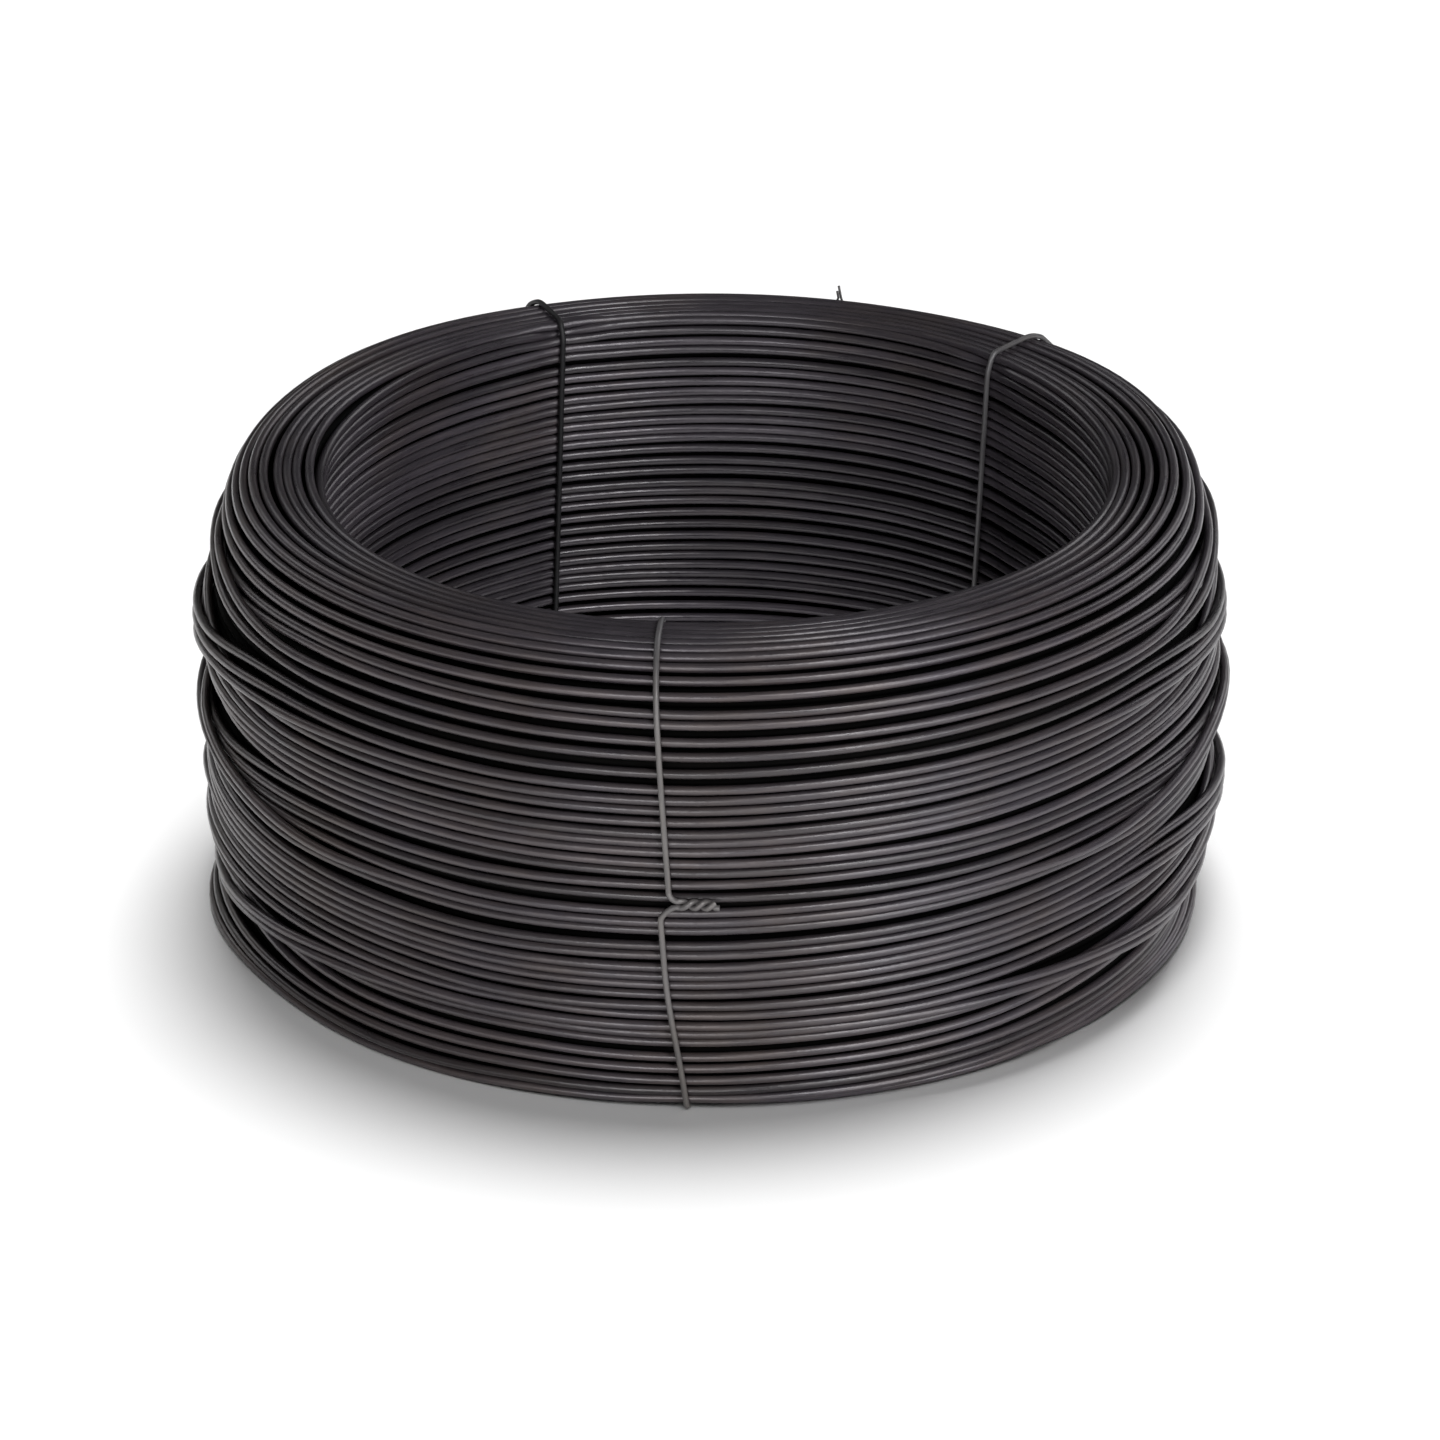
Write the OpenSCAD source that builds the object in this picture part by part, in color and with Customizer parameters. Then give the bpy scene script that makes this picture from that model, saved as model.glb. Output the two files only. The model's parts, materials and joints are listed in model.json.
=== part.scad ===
// Coil of black annealed wire rod, standing on its end and held by three hand-twisted tie wires.
// The origin is on the coil's axis at the floor, and +Z runs up the axis.

/* [Rod] */
// Diameter of the rod that is wound into the coil
rod_d = 5.5; // [4:0.1:5.9]
// Spacing of neighbouring turns where they show on the coil's faces
turn_pitch = 6.6; // [5.6:0.1:9]
// Depth of the groove between neighbouring turns
groove_d = 1.2; // [0.6:0.1:2.5]

/* [Coil] */
// Clear diameter of the eye, across the crests of its turns
eye_d = 474; // [380:1:560]
// Thickness of the winding at the belly, from the eye to the widest turns
winding_t = 71; // [56:1:110]
// Width of the flat top, from the eye to where it starts to round over into the shoulder
crown_w = 28; // [22:1:42]
// Distance by which the wall draws in from the belly to the turns on the floor
foot_in = 8; // [2:0.5:16]
// Height of the coil without its ties
coil_h = 280; // [220:1:340]
// Height of the belly above the floor
belly_z = 165; // [120:1:190]
// Radius on which the turns bend from the top into the eye
lip_r = 9; // [5:0.5:14]

/* [Ties] */
// Diameter of the tie wire
tie_d = 3.4; // [2:0.1:4]
// Places of the front, back left and back right ties, in degrees round the axis from +X
tie_angles = [265.6, 114.6, 45.7]; // [0:0.1:360]
// Lean of the three ties off the upright, in degrees
tie_leans = [3.7, 2.3, 3]; // [-8:0.1:8]
// Depth by which a tie draws back the turns of the eye that it crosses
tie_draw = 2.8; // [1:0.1:3.2]
// Gap between a tie and the crests that it passes over
tie_gap = 0.3; // [0.2:0.05:0.6]
// Height of the twisted ends above the floor
twist_z = 137; // [90:1:180]
// Length of the twisted ends
twist_l = 26; // [20:1:50]
// Whole turns that the two ends make about each other
twist_turns = 1.7; // [1:0.1:2]
// Length by which the longer of the two ends runs on past the twist
tail_l = 4; // [1:0.5:12]

/* [Hidden] */
$fn = 96;

// The rod's section has flats that face the eye, the floor and the top
rod_sides = 12;
rod_r = rod_d / 2;
rod_flat_r = rod_r * cos(180 / rod_sides);
rod_outline = [for (k = [0 : rod_sides - 1])
    let (turn = 360 * (k + 1 / 2) / rod_sides)
    rod_r * [cos(turn), sin(turn)]];
eye_r = eye_d / 2;
belly_r = eye_r + winding_t;
foot_r = belly_r - foot_in;
crown_r = eye_r + crown_w;
tie_r = tie_d / 2;
coil_colour = [0.19, 0.18, 0.18];
tie_colour = [0.3, 0.29, 0.29];

// Lines that the centres of the outermost turns follow on each face of the coil
eye_line = eye_r + rod_flat_r;
floor_line = rod_flat_r;
top_line = coil_h - rod_flat_r;
belly_line = belly_r - rod_flat_r;
foot_line = foot_r - rod_flat_r;
crown_line = crown_r - rod_flat_r;

// Exponent of height in the superellipse that carries the belly over into the flat top
shoulder_power = 4.5;
wall_steps = 16;
bend_steps = 6;

// Room that a tie has in the channel it lies in, and the overrun of the cuts
channel_gap = tie_gap / 2;
overrun = rod_d;

// Sides of a tie wire's section, and steps along a strand of its twist
tie_sides = 8;
strand_steps = 24;
// Share of the twist over which its ends go from straight to fully wound
wind_in_share = 0.1;

function unit(v) = v / norm(v);

// Points of the arc of radius r that rounds the corner at b on the way from a to c
function rounded(a, b, c, r) =
    let (to_a = unit(a - b), to_c = unit(c - b),
         half = acos(to_a * to_c) / 2,
         centre = b + unit(to_a + to_c) * r / sin(half),
         first = b + to_a * r / tan(half) - centre,
         last = b + to_c * r / tan(half) - centre,
         from = atan2(first[1], first[0]),
         turn = atan2(first[0] * last[1] - first[1] * last[0], first * last))
    [for (i = [0 : bend_steps])
        let (at = from + turn * i / bend_steps)
        centre + r * [cos(at), sin(at)]];

// Outer wall from the floor up to the belly, and from the belly over the shoulder, as radius and height
lower_wall = [for (i = [0 : wall_steps - 1])
    let (down = 1 - i / wall_steps)
    [belly_line - (belly_line - foot_line) * pow(down, 2),
     belly_z - (belly_z - floor_line) * down]];
shoulder = [for (i = [0 : wall_steps])
    let (up = 90 * i / wall_steps)
    [crown_line + (belly_line - crown_line) * cos(up),
     belly_z + (top_line - belly_z) * pow(sin(up), 2 / shoulder_power)]];
outer_wall = concat(lower_wall, shoulder);
lip = rounded([crown_line, top_line], [eye_line, top_line], [eye_line, floor_line], lip_r);

// Closed line of the outermost turns, round the coil's section from the inner floor corner
turn_line = concat([[eye_line, floor_line]], outer_wall, lip, [[eye_line, floor_line]]);
turn_line_at = [for (i = 0, s = 0; i < len(turn_line);
                     s = s + (i + 1 < len(turn_line) ? norm(turn_line[i + 1] - turn_line[i]) : 0), i = i + 1) s];
turn_line_l = turn_line_at[len(turn_line) - 1];
turn_count = round(turn_line_l / turn_pitch);

// Point at a distance along the line of turns
function on_turn_line(s) = [
    lookup(s, [for (i = [0 : len(turn_line) - 1]) [turn_line_at[i], turn_line[i][0]]]),
    lookup(s, [for (i = [0 : len(turn_line) - 1]) [turn_line_at[i], turn_line[i][1]]])];
turns = [for (i = [0 : turn_count - 1]) on_turn_line(turn_line_l * i / turn_count)];

// Bottoms of the grooves, as the outline of the core that the turns stand on
core = [for (i = [0 : turn_count - 1])
    let (along = unit(turns[(i + 1) % turn_count] - turns[(i + turn_count - 1) % turn_count]))
    turns[i] + (rod_r - groove_d) * [along[1], -along[0]]];

// Section of the coil: turns that stand on a filled core
module coil_section() {
    polygon(core);
    for (turn = turns) translate(turn) polygon(rod_outline);
}

// Runs of a tie's centre line in its own upright plane
tie_in = eye_r + tie_draw - tie_r;
tie_under = tie_r + channel_gap;
tie_over = coil_h + tie_gap + tie_r;
tie_off_wall = rod_r + tie_gap + tie_r;

// Faces of the channel that a tie lies in, under the coil and in the eye
channel_in = eye_r + tie_draw + channel_gap;
channel_under = tie_d + 2 * channel_gap;

// Inside radius of a tie's bends: round one rod at the floor corners, and close over the cut lip at the top
corner_r = rod_r + tie_gap;
lip_crest_r = lip_r + rod_r;
lip_cut = channel_in - eye_line + rod_r;
lip_corner_r = lip_crest_r + tie_gap - sqrt(lip_cut * (2 * lip_crest_r - lip_cut));
tie_turn_r = corner_r + tie_r;

// Outward normal of the outer wall at one of its points
function wall_normal(i) =
    let (a = outer_wall[max(i - 1, 0)], b = outer_wall[min(i + 1, len(outer_wall) - 1)],
         along = unit(b - a))
    [along[1], -along[0]];
tie_wall = [for (i = [0 : len(outer_wall) - 1]) outer_wall[i] + tie_off_wall * wall_normal(i)];
// Corner at which the wall's run, carried on straight down, meets the run under the coil
tie_foot = [2 * tie_wall[1][0] - tie_wall[2][0], tie_under];
tie_lower = [for (p = tie_wall) if (p[1] > tie_under + 2 * tie_turn_r && p[1] < twist_z - tie_turn_r) p];
tie_upper = [for (p = tie_wall) if (p[1] > twist_z + tie_turn_r && p[1] < tie_over - channel_gap) p];

foot_bend = rounded(tie_lower[0], tie_foot, [tie_in, tie_under], tie_turn_r);
toe_bend = rounded(tie_foot, [tie_in, tie_under], [tie_in, tie_over], tie_turn_r);
lip_bend = rounded([tie_in, tie_under], [tie_in, tie_over], [crown_line, tie_over], lip_corner_r + tie_r);

// Whole run of a tie from under its twist, round the foot, up the eye and back over the shoulder
tie_run = concat([for (i = [len(tie_lower) - 1 : -1 : 0]) tie_lower[i]], foot_bend, toe_bend, lip_bend,
                 [for (i = [len(tie_upper) - 1 : -1 : 0]) tie_upper[i]]);

// A point of a tie's plane, leaned over and turned to the tie's place round the coil
function at_tie(p, aside, which) =
    let (place = tie_angles[which],
         side = aside - tan(tie_leans[which]) * (p[1] - twist_z))
    [p[0] * cos(place) - side * sin(place), p[0] * sin(place) + side * cos(place), p[1]];

// Radius of the strands about the twist's axis, and the twist's stand-off from the belly
strand_r = tie_r + tie_gap / 2;
twist_at = lookup(twist_z, [for (p = tie_wall) [p[1], p[0]]]);
twist_axis = twist_at + tie_r;
twist_start = tie_turn_r;

// Angle wound at a share of the twist, easing in from straight
function wound(share) = 360 * twist_turns * (share - wind_in_share * (1 - exp(-share / wind_in_share)));

// One end of a tie: a bend from the wall into the twist, then a strand about its axis; up is 1 or -1
function tie_end(up, run_on, which) = concat(
    [for (i = [0 : bend_steps - 1])
        let (turn = 90 * i / bend_steps)
        at_tie([twist_at + (twist_axis - twist_at) * i / bend_steps,
                twist_z + up * (strand_r + twist_start * (1 - sin(turn)))],
               twist_start * (1 - cos(turn)), which)],
    [for (i = [0 : strand_steps])
        let (share = i / strand_steps, at = wound(share))
        at_tie([twist_axis - up * strand_r * sin(at), twist_z + up * strand_r * cos(at)],
               twist_start + twist_l * share, which)],
    run_on == 0 ? [] :
        [let (at = wound(1))
            at_tie([twist_axis - up * strand_r * sin(at), twist_z + up * strand_r * cos(at)],
                   twist_start + twist_l + run_on, which)]);

function backwards(list) = [for (i = [len(list) - 1 : -1 : 0]) list[i]];

// Round wire swept along a path of points, as one closed mesh
module wire(path, r, sides) {
    count = len(path);
    along = [for (i = [0 : count - 1]) unit(path[min(i + 1, count - 1)] - path[max(i - 1, 0)])];
    // Each section's first direction is the last one's, turned as little as the path's own turn asks
    start = unit(cross(along[0], abs(along[0][2]) < 0.9 ? [0, 0, 1] : [1, 0, 0]));
    across = [for (i = 0, a = start; i < count;
                   i = i + 1, a = i < count ? unit(a - along[i] * (a * along[i])) : a) a];
    points = [for (i = [0 : count - 1], k = [0 : sides - 1])
        let (turn = 360 * k / sides)
        path[i] + r * (cos(turn) * across[i] + sin(turn) * cross(along[i], across[i]))];
    walls = [for (i = [0 : count - 2], k = [0 : sides - 1])
        let (a = i * sides + k, b = i * sides + (k + 1) % sides)
        each [[a, a + sides, b], [b, a + sides, b + sides]]];
    last = (count - 1) * sides;
    ends = [for (k = [1 : sides - 2])
        each [[0, k, k + 1], [last, last + k + 1, last + k]]];
    polyhedron(points, concat(walls, ends));
}

// Channel in which a tie lies flush under the coil and drawn back into the eye
module tie_channel(which) {
    lean = tie_leans[which];
    bend_clear = channel_under + corner_r + groove_d;
    outline = [[eye_r - overrun, -overrun],
               [eye_r - overrun, coil_h + overrun],
               [channel_in, coil_h + overrun],
               [channel_in, channel_under + corner_r],
               [channel_in + corner_r, channel_under],
               [foot_line, channel_under],
               [foot_line, bend_clear],
               [foot_r + overrun, bend_clear],
               [foot_r + overrun, -overrun]];
    rotate([0, 0, tie_angles[which]])
        translate([0, 0, twist_z])
            rotate([lean + 90, 0, 0])
                linear_extrude(height = tie_d + 2 * tie_gap, center = true)
                    polygon([for (p = outline) [p[0], (p[1] - twist_z) / cos(lean)]]);
}

// The wound rod, with the channels that its ties lie in
module coil() {
    color(coil_colour)
        difference() {
            rotate_extrude() coil_section();
            for (which = [0 : len(tie_angles) - 1]) tie_channel(which);
        }
}

// A tie: one wire round the coil's section, its two ends twisted together on the belly
module tie(which) {
    color(tie_colour)
        wire(concat(backwards(tie_end(-1, 0, which)), [for (p = tie_run) at_tie(p, 0, which)],
                    tie_end(1, tail_l, which)),
             tie_r, tie_sides);
}

coil();
tie(0);  // tie_front
tie(1);  // tie_back_left
tie(2);  // tie_back_right
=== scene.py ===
import json
import math

import bpy
import numpy as np
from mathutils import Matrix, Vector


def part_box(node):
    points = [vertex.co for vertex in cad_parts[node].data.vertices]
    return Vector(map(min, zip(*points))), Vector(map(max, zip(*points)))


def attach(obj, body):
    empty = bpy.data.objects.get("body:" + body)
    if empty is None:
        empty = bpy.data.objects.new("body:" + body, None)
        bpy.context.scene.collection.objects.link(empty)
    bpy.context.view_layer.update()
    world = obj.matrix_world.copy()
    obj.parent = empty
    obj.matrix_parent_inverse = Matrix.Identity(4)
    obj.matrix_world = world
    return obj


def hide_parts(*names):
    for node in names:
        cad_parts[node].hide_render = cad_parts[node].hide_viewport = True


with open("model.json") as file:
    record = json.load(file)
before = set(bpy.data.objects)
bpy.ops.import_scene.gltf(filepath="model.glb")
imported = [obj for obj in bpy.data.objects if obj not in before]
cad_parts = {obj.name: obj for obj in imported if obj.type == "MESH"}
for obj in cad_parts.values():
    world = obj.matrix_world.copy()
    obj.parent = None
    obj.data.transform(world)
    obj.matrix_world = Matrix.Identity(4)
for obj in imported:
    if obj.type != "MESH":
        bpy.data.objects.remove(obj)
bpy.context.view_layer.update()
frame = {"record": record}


# Inner turns
# The bulk of the coil: several hundred turns of the same rod, packed behind the two layers that show.
# Only their backs are glimpsed through the gaps, so they are one turned body with a ridge for each turn.
ROD_D = 0.0055
ROD_R = ROD_D / 2
EYE_R = next(mount["dims"]["r_mm"] for mount in frame["record"]["mounts"] if mount["name"] == "eye") / 1000
BELLY_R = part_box("coil")[1].x
COIL_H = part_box("coil")[1].z
BELLY_Z = 0.165
CROWN_W = 0.028
FOOT_IN = 0.008
SHOULDER_POWER = 4.5
CORNER_REACH = 0.004
LINE_STEP = 0.0005
CURVE_POINTS = 90
# Distance from the axis at which the rod's outer end lies on the shoulder
END_R = 0.287


def softened(values, reach):
    """A closed run of values, each blended with its neighbours over a reach counted in values."""
    waves = np.fft.rfftfreq(len(values))
    return np.fft.irfft(np.fft.rfft(values) * np.exp(-2 * (math.pi * waves * reach) ** 2), len(values))


def section_line(inset):
    """Closed line that rod centres follow round the coil's section, inset from the outermost turns.
    It runs from the shoulder over the top, down the eye, out along the floor and up the belly, and has
    its outward normals with it."""
    eye = EYE_R + ROD_R + inset
    floor = ROD_R + inset
    top = COIL_H - ROD_R - inset
    belly = BELLY_R - ROD_R - inset
    crown = EYE_R + CROWN_W - ROD_R - inset
    share = np.linspace(0, 1, CURVE_POINTS)
    quarter = share * math.pi / 2
    wall_r = belly - FOOT_IN * (1 - share) ** 2
    wall_z = floor + (BELLY_Z - floor) * share
    over_r = crown + (belly - crown) * np.cos(quarter)
    over_z = BELLY_Z + (top - BELLY_Z) * np.sin(quarter) ** (2 / SHOULDER_POWER)
    r = np.concatenate([[eye, eye], wall_r, over_r, [eye]])
    z = np.concatenate([[top, floor], wall_z, over_z, [top]])
    run = np.concatenate([[0], np.cumsum(np.hypot(np.diff(r), np.diff(z)))])
    even = np.arange(0, run[-1] - LINE_STEP / 2, LINE_STEP)
    r = softened(np.interp(even, run, r), CORNER_REACH / LINE_STEP)
    z = softened(np.interp(even, run, z), CORNER_REACH / LINE_STEP)
    first = np.argmin(np.abs(r - (END_R - inset)) + (z < BELLY_Z))
    r = np.roll(r, -first)
    z = np.roll(z, -first)
    ahead_r = np.roll(r, -1) - r
    ahead_z = np.roll(z, -1) - z
    steps = np.hypot(ahead_r, ahead_z)
    return {
        "at": np.cumsum(steps) - steps,
        "length": steps.sum(),
        "r": r,
        "z": z,
        "out_r": ahead_z / steps,
        "out_z": -ahead_r / steps,
    }


def on_line(line, what, at):
    """A value of the section line at distances along it."""
    return np.interp(at, line["at"], line[what], period=line["length"])


def mesh_piece(name, points, faces, smooth=True):
    """A mesh object of the given points and faces."""
    mesh = bpy.data.meshes.new(name)
    mesh.from_pydata(points.tolist(), [], faces)
    mesh.polygons.foreach_set("use_smooth", [smooth] * len(mesh.polygons))
    mesh.update()
    piece = bpy.data.objects.new(name, mesh)
    bpy.context.scene.collection.objects.link(piece)
    return piece


def grid_faces(rows, columns, wrap_rows):
    """Quads of a grid whose columns run round into each other, and whose rows may too."""
    row = np.arange(rows if wrap_rows else rows - 1)[:, None]
    column = np.arange(columns)[None, :]
    next_row = (row + 1) % rows
    next_column = (column + 1) % columns
    quads = np.stack(
        [
            row * columns + column,
            row * columns + next_column,
            next_row * columns + next_column,
            next_row * columns + column,
        ],
        axis=-1,
    )
    return quads.reshape(-1, 4)


def new_node(tree, kind, values=None, **settings):
    """A shader node with its settings and socket values."""
    made = tree.nodes.new(kind)
    for setting, value in settings.items():
        setattr(made, setting, value)
    for socket, value in (values or {}).items():
        made.inputs[socket].default_value = value
    return made


# Marks in the skin of scale, so many a metre along the rod and so many round it: streaks, and finer scores
STREAKS = (26, 5, 1)
SCORES = (160, 14, 1)
SCORE_STRENGTH = 0.35
SCORE_DEPTH = 0.0004
# Rust lies in patches, so many a metre, with more on the coil's outer left and some speckle from the streaks
RUST_PATCHES = 11.0
LEFT_RUST = 0.34
SPECKLE = 0.6
SPECKLE_SHIFT = -0.28
RUST_BEGINS = 0.5
RUST_FULL = 0.95
# Lightness of the darkest and lightest turns, and of the rod in its faint and strong streaks
TONE_REACH = 2.2
DARK_TURN = 0.52
LIGHT_TURN = 1.42
FAINT_STREAK = 0.3
STRONG_STREAK = 0.7
DARK_STREAK = 0.75
LIGHT_STREAK = 1.25
# The streaks make the skin smoother or duller by this much
SMOOTHER = 0.07
DULLER = 0.1
# Places of the two colours among the sockets of a colour mix
MIX_FIRST = 6
MIX_SECOND = 7


def rod_finish(name, oxide, rust, rough, metal, gloss):
    """Black annealed rod: a thin scale of iron oxide, drawn out in streaks along the rod, browner in
    patches and on the coil's outer left, with each turn a little lighter or darker than the next."""
    material = bpy.data.materials.new(name)
    material.use_nodes = True
    tree = material.node_tree
    link = tree.links.new
    shader = tree.nodes["Principled BSDF"]
    shader.inputs["Metallic"].default_value = metal
    shader.inputs["Specular IOR Level"].default_value = gloss
    place = new_node(tree, "ShaderNodeTexCoord")
    tone = new_node(tree, "ShaderNodeAttribute", attribute_name="tone")

    drawn = new_node(tree, "ShaderNodeMapping", {"Scale": STREAKS})
    link(place.outputs["UV"], drawn.inputs["Vector"])
    streaks = new_node(tree, "ShaderNodeTexNoise", {"Scale": 1.0, "Detail": 5.0, "Roughness": 0.62})
    link(drawn.outputs["Vector"], streaks.inputs["Vector"])

    patches = new_node(tree, "ShaderNodeTexNoise", {"Scale": RUST_PATCHES, "Detail": 4.0, "Roughness": 0.6})
    link(place.outputs["Object"], patches.inputs["Vector"])
    across = new_node(tree, "ShaderNodeSeparateXYZ")
    link(place.outputs["Object"], across.inputs["Vector"])
    left = new_node(
        tree,
        "ShaderNodeMapRange",
        {"From Min": -BELLY_R, "From Max": BELLY_R, "To Min": LEFT_RUST, "To Max": 0.0},
    )
    link(across.outputs["X"], left.inputs["Value"])
    level = new_node(tree, "ShaderNodeMapping", {"Scale": (1, 1, 0)})
    link(place.outputs["Object"], level.inputs["Vector"])
    from_axis = new_node(tree, "ShaderNodeVectorMath", operation="LENGTH")
    link(level.outputs["Vector"], from_axis.inputs["Vector"])
    outside = new_node(
        tree, "ShaderNodeMapRange", {"From Min": EYE_R + ROD_D, "From Max": BELLY_R - ROD_D}
    )
    link(from_axis.outputs["Value"], outside.inputs["Value"])
    browner = new_node(tree, "ShaderNodeMath", operation="MULTIPLY_ADD")
    link(left.outputs["Result"], browner.inputs[0])
    link(outside.outputs["Result"], browner.inputs[1])
    link(patches.outputs["Fac"], browner.inputs[2])
    speckled = new_node(tree, "ShaderNodeMath", {1: SPECKLE, 2: SPECKLE_SHIFT}, operation="MULTIPLY_ADD")
    link(streaks.outputs["Fac"], speckled.inputs[0])
    rusted = new_node(tree, "ShaderNodeMath", operation="ADD")
    link(browner.outputs["Value"], rusted.inputs[0])
    link(speckled.outputs["Value"], rusted.inputs[1])
    bloom = new_node(tree, "ShaderNodeMapRange", {"From Min": RUST_BEGINS, "From Max": RUST_FULL})
    link(rusted.outputs["Value"], bloom.inputs["Value"])
    colour = new_node(tree, "ShaderNodeMix", {MIX_FIRST: oxide, MIX_SECOND: rust}, data_type="RGBA")
    link(bloom.outputs["Result"], colour.inputs["Factor"])

    shade = new_node(
        tree,
        "ShaderNodeMapRange",
        {"From Min": -TONE_REACH, "From Max": TONE_REACH, "To Min": DARK_TURN, "To Max": LIGHT_TURN},
    )
    link(tone.outputs["Fac"], shade.inputs["Value"])
    streak_range = {"From Min": FAINT_STREAK, "From Max": STRONG_STREAK}
    worn = new_node(
        tree, "ShaderNodeMapRange", {**streak_range, "To Min": DARK_STREAK, "To Max": LIGHT_STREAK}
    )
    link(streaks.outputs["Fac"], worn.inputs["Value"])
    lightness = new_node(tree, "ShaderNodeMath", operation="MULTIPLY")
    link(shade.outputs["Result"], lightness.inputs[0])
    link(worn.outputs["Result"], lightness.inputs[1])
    toned = new_node(tree, "ShaderNodeVectorMath", operation="SCALE")
    link(colour.outputs["Result"], toned.inputs["Vector"])
    link(lightness.outputs["Value"], toned.inputs["Scale"])
    link(toned.outputs["Vector"], shader.inputs["Base Color"])

    dull = new_node(
        tree, "ShaderNodeMapRange", {**streak_range, "To Min": rough - SMOOTHER, "To Max": rough + DULLER}
    )
    link(streaks.outputs["Fac"], dull.inputs["Value"])
    link(dull.outputs["Result"], shader.inputs["Roughness"])

    scored = new_node(tree, "ShaderNodeMapping", {"Scale": SCORES})
    link(place.outputs["UV"], scored.inputs["Vector"])
    skin = new_node(tree, "ShaderNodeTexNoise", {"Scale": 1.0, "Detail": 4.0, "Roughness": 0.65})
    link(scored.outputs["Vector"], skin.inputs["Vector"])
    relief = new_node(tree, "ShaderNodeBump", {"Strength": SCORE_STRENGTH, "Distance": SCORE_DEPTH})
    link(skin.outputs["Fac"], relief.inputs["Height"])
    link(relief.outputs["Normal"], shader.inputs["Normal"])
    return material


ROD_OXIDE = (0.0485, 0.0420, 0.0505, 1)
ROD_RUST = (0.0515, 0.0400, 0.0380, 1)
# A near-black copy of the rod's finish for the inner body and the under layer: painted shade, since these are
# the same rod and are dark only where the outer turns shade them
SHADED_OXIDE = (0.0026, 0.0026, 0.0027, 1)
SHADED_RUST = (0.0034, 0.0030, 0.0027, 1)
BLACK_ROD = rod_finish("black_annealed_rod", ROD_OXIDE, ROD_RUST, rough=0.31, metal=0.3, gloss=0.75)
SHADE_PAINTED_ROD = rod_finish("shade_painted_inner_rod", SHADED_OXIDE, SHADED_RUST, rough=0.8, metal=0.0, gloss=0.03)


def finished(piece, material, slot_name, *nodes):
    """Gives a piece its material and its CAD body, and hides the nodes it stands for. slot_name is not used.
    """
    piece.data.materials.append(material)
    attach(piece, "root")
    if nodes:
        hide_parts(*nodes)


INNER_INSET = 2.15 * ROD_D
INNER_SEGMENTS = 120
INNER_POINT_STEP = ROD_D / 5
inner_line = section_line(INNER_INSET)
inner_at = np.arange(0, inner_line["length"] - INNER_POINT_STEP / 2, INNER_POINT_STEP)
inner_ridge = ROD_R * np.abs(np.sin(math.pi * inner_at / ROD_D))
inner_r = on_line(inner_line, "r", inner_at) + on_line(inner_line, "out_r", inner_at) * inner_ridge
inner_z = on_line(inner_line, "z", inner_at) + on_line(inner_line, "out_z", inner_at) * inner_ridge
inner_turn = np.arange(INNER_SEGMENTS) * 2 * math.pi / INNER_SEGMENTS
inner_points = np.stack(
    [
        np.outer(np.cos(inner_turn), inner_r),
        np.outer(np.sin(inner_turn), inner_r),
        np.outer(np.ones(INNER_SEGMENTS), inner_z),
    ],
    axis=-1,
)
inner_turns = mesh_piece(
    "inner_turns",
    inner_points.reshape(-1, 3),
    grid_faces(INNER_SEGMENTS, len(inner_at), wrap_rows=True).tolist(),
)
# The inner body takes the near-black copy of the rod's finish, as painted shade
finished(inner_turns, SHADE_PAINTED_ROD, "rod", "coil")


# Turns that show
# One length of 5.5 mm hot-rolled rod, annealed black and wound turn beside turn over every face of the coil.
# The winding is slack: turns close up in bands, stand apart elsewhere, and some ride up on the next.
END_ANGLE = 68.5
# The rod's inner end dives by this much under its outer end, over these shares of its last turn, and runs
# on below it for so many stations
END_DIVE = 1.1 * ROD_D
DIVE_BEGINS = 0.35
DIVE_RUN = 0.3
RUN_UNDER = 8
# The ties: place round the axis and lean in degrees, and how far each bows aside below its twist
TIES = {
    "tie_front": {"angle": 265.6, "lean": 3.7, "bow": 0.0058},
    "tie_back_left": {"angle": 114.6, "lean": 2.3, "bow": 0.0},
    "tie_back_right": {"angle": 45.7, "lean": 3.0, "bow": 0.0},
}
TIE_R = 0.0017
TIE_GAP = 0.0003
TWIST_Z = 0.137
# How far a tie draws turns in, in the eye and at the lip, and how far to its sides they feel it
TIE_DRAW = 0.0028
LIP_DRAW = 0.0035
DRAW_REACH = 0.022
# Degrees to each side of a tie in which no turn rides up
PRESS_REACH = 7
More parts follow.
